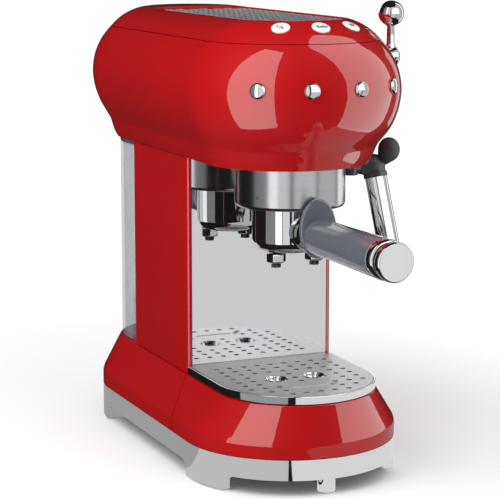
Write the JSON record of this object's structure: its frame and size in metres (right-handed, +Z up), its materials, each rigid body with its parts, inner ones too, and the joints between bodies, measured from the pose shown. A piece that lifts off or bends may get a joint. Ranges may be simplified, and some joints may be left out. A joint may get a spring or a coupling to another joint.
{
  "type": "espresso machine",
  "caption": "Pump espresso machine with a capsule-shaped enamel head on a narrow column, rear water tank, drip tray, portafilter, steam wand and lever.",
  "frame": {"origin": "on the worktop, under the middle of the machine's bounding box", "axes": "+Z up; the portafilter handle points to -Y, the water tank is at +Y, +X is to the right seen from the front, where the steam wand is"},
  "size_m": [0.159, 0.4038, 0.3191],
  "materials": {
    "red_enamel": "high-gloss enamel",
    "polished_chrome": "mirror-polished plate",
    "brushed_steel": "fine brushed stainless steel",
    "mirror_steel": "polished stainless steel sheet",
    "grey_plastic": "satin grey moulding",
    "black_plastic": "black moulding",
    "dark_rubber": "soft rubber",
    "white_plastic": "gloss white moulding",
    "clear_plastic": "clear moulded plastic",
    "cast_aluminium": "as cast",
    "brass": "machined",
    "circuit_board": "solder-mask green",
    "silicone_hose": "translucent tube"
  },
  "bodies": {
    "machine": {"base_front_shell": "red_enamel", "base_rear_shell": "red_enamel", "bottom_plate": "black_plastic", "button_board": "circuit_board", "column_back_plate": "grey_plastic", "column_front_panel": "mirror_steel", "column_left_panel": "red_enamel", "column_right_panel": "red_enamel", "cord_gland": "black_plastic", "cup_grille": "brushed_steel", "foot_frame": "polished_chrome", "foot_pad_1": "dark_rubber", "foot_pad_2": "dark_rubber", "foot_pad_3": "dark_rubber", "foot_pad_4": "dark_rubber", "front_post": "polished_chrome", "front_stud_1": "polished_chrome", "front_stud_2": "polished_chrome", "front_stud_3": "polished_chrome", "front_stud_4": "polished_chrome", "group_collar": "brushed_steel", "group_gasket": "dark_rubber", "head_chassis": "black_plastic", "head_lid": "red_enamel", "head_shell": "red_enamel", "intake_hose": "silicone_hose", "lever_bearing": "polished_chrome", "pressure_hose": "silicone_hose", "shower_screen": "brushed_steel", "steam_valve": "brass", "tank_seat": "red_enamel", "tank_seat_seal": "dark_rubber", "thermoblock": "cast_aluminium", "wand_socket": "cast_aluminium", "water_pump": "black_plastic"},
    "drip_tray": {"drip_tray_bin": "black_plastic"},
    "tray_grid": {"drip_tray_grid": "brushed_steel", "drip_tray_rim": "polished_chrome"},
    "tank": {"water_tank": "clear_plastic", "tank_lid": "grey_plastic", "tank_outlet_valve": "black_plastic"},
    "portafilter": {"portafilter_cup": "polished_chrome", "filter_basket": "brushed_steel", "portafilter_neck": "polished_chrome", "thumb_disc": "grey_plastic", "handle_grip": "grey_plastic", "handle_end_cap": "polished_chrome", "spout_nut_left": "polished_chrome", "spout_nut_right": "polished_chrome", "spout_tip_left": "black_plastic", "spout_tip_right": "black_plastic"},
    "lever": {"steam_lever": "polished_chrome", "lever_ball": "polished_chrome"},
    "wand": {"wand_elbow": "grey_plastic", "wand_tab": "dark_rubber", "wand_tube": "polished_chrome", "wand_nozzle": "brushed_steel"},
    "left_button": {"button_1": "white_plastic"},
    "middle_button": {"button_2": "white_plastic"},
    "right_button": {"button_3": "white_plastic"}
  },
  "joints": [
    {"name": "portafilter_turn", "type": "hinge", "parent": "machine", "child": "portafilter", "pos_m": [-0.00535, -0.05115, 0.1684], "axis": [0, 0, 1], "range_deg": [-50, 0]},
    {"name": "steam_lever_turn", "type": "hinge", "parent": "machine", "child": "lever", "pos_m": [0.07065, -0.04915, 0.281], "axis": [1, 0, 0], "range_deg": [0, 90]},
    {"name": "wand_swing", "type": "hinge", "parent": "machine", "child": "wand", "pos_m": [0.05765, -0.04815, 0.2065], "axis": [1, 0, 0], "range_deg": [-30, 25]},
    {"name": "left_button_press", "type": "slide", "parent": "machine", "child": "left_button", "axis": [0.229, 0.3664, -0.9018], "range_m": [0, 0.0015], "stiffness_N_per_m": 500, "springref_m": -0.0004},
    {"name": "middle_button_press", "type": "slide", "parent": "machine", "child": "middle_button", "axis": [0, 0.4321, -0.9018], "range_m": [0, 0.0015], "stiffness_N_per_m": 500, "springref_m": -0.0004},
    {"name": "right_button_press", "type": "slide", "parent": "machine", "child": "right_button", "axis": [-0.229, 0.3664, -0.9018], "range_m": [0, 0.0015], "stiffness_N_per_m": 500, "springref_m": -0.0004},
    {"name": "drip_tray_lift", "type": "slide", "parent": "machine", "child": "drip_tray", "axis": [0, 0, 1], "range_m": [0, 0.04]},
    {"name": "tray_grid_lift", "type": "slide", "parent": "drip_tray", "child": "tray_grid", "axis": [0, 0, 1], "range_m": [0, 0.03]},
    {"name": "tank_slide", "type": "slide", "parent": "machine", "child": "tank", "axis": [0, 1, 0], "range_m": [0, 0.12]}
  ]
}
